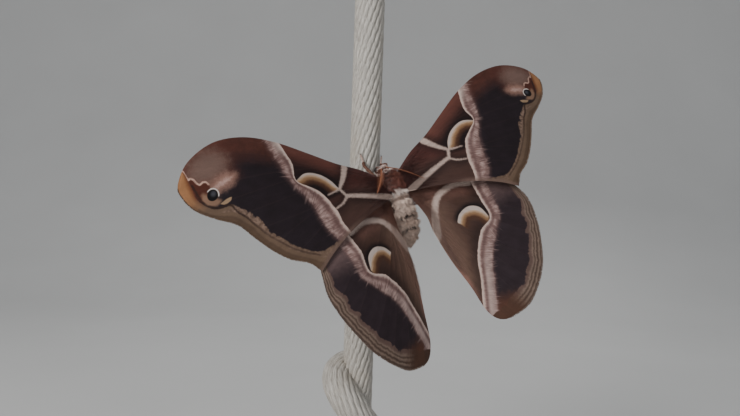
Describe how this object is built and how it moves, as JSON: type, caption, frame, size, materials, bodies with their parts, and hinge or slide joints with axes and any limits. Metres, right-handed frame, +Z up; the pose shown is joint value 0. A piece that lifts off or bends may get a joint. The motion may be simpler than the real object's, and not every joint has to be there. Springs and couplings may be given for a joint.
{
  "type": "silkmoth",
  "caption": "Life-size silkmoth model resting with raised, spread wings on a short cut length of knotted rope, held upright by a plain round stand.",
  "frame": {"origin": "centre of the stand base's flat underside, on the floor, straight below the rope", "axes": "+Z up along the rope, -Y towards the side that the moth's back faces, +X towards the moth's right wings"},
  "size_m": [0.1137, 0.1048, 0.194],
  "materials": {
    "forewing": "matt scaled wing membrane, dark brown with pale bands",
    "hindwing": "matt scaled wing membrane, olive brown with pale bands",
    "dark_fur": "dense maroon-brown hair",
    "pale_fur": "woolly off-white hair",
    "eye": "glossy dark compound eye",
    "antenna": "orange-brown feathered antenna",
    "leg": "short brown hair with pale feet",
    "rope": "off-white braided synthetic rope",
    "brass": "brushed and lacquered",
    "walnut": "satin oiled walnut"
  },
  "bodies": {
    "root": {"thorax": "dark_fur", "head": "dark_fur", "abdomen": "pale_fur", "eye_left": "eye", "eye_right": "eye", "antenna_left": "antenna", "antenna_right": "antenna", "forewing_left": "forewing", "forewing_right": "forewing", "hindwing_left": "hindwing", "hindwing_right": "hindwing", "leg_fore_left": "leg", "leg_fore_right": "leg", "leg_mid_left": "leg", "leg_mid_right": "leg", "leg_hind_left": "leg", "leg_hind_right": "leg", "perch_rope": "rope", "perch_knot": "rope", "stand_rod": "brass", "stand_ferrule": "brass", "stand_base": "walnut"}
  },
  "joints": []
}
